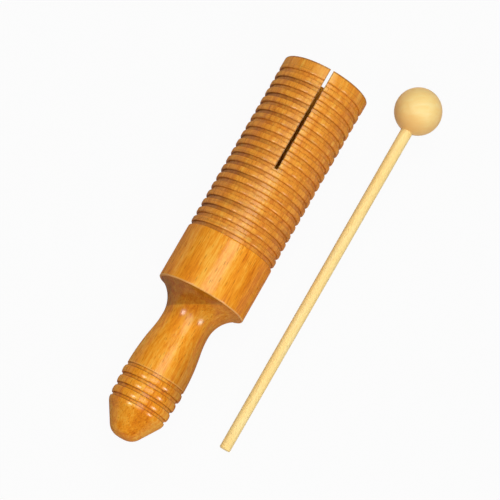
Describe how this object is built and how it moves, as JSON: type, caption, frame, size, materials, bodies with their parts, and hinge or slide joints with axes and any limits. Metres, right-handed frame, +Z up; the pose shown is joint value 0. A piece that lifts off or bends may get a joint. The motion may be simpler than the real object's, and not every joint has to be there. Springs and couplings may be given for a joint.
{
  "type": "woodblock",
  "caption": "Hand-held guiro tone block: a hollow wooden drum, ribbed for scraping and slotted for striking, on a turned handle, with a ball-headed wooden beater lying beside it.",
  "frame": {"origin": "on the table, under the middle of the box around the block and its beater", "axes": "+Y along the block from the knob to the open mouth, +Z up through the slot, +X from the block towards the beater"},
  "size_m": [0.0896, 0.2482, 0.05],
  "materials": {
    "lacquered_wood": "honey-brown hardwood under clear gloss lacquer, grain along the axis",
    "pale_wood": "pale fine-grained wood with a thin satin varnish"
  },
  "bodies": {
    "block": {"drum": "lacquered_wood", "handle": "lacquered_wood"},
    "beater": {"beater_stick": "pale_wood", "beater_ball": "pale_wood"}
  },
  "joints": [
    {"name": "beater_lift", "type": "slide", "parent": "block", "child": "beater", "axis": [0, 0, 1], "range_m": [0, 0.15]}
  ]
}
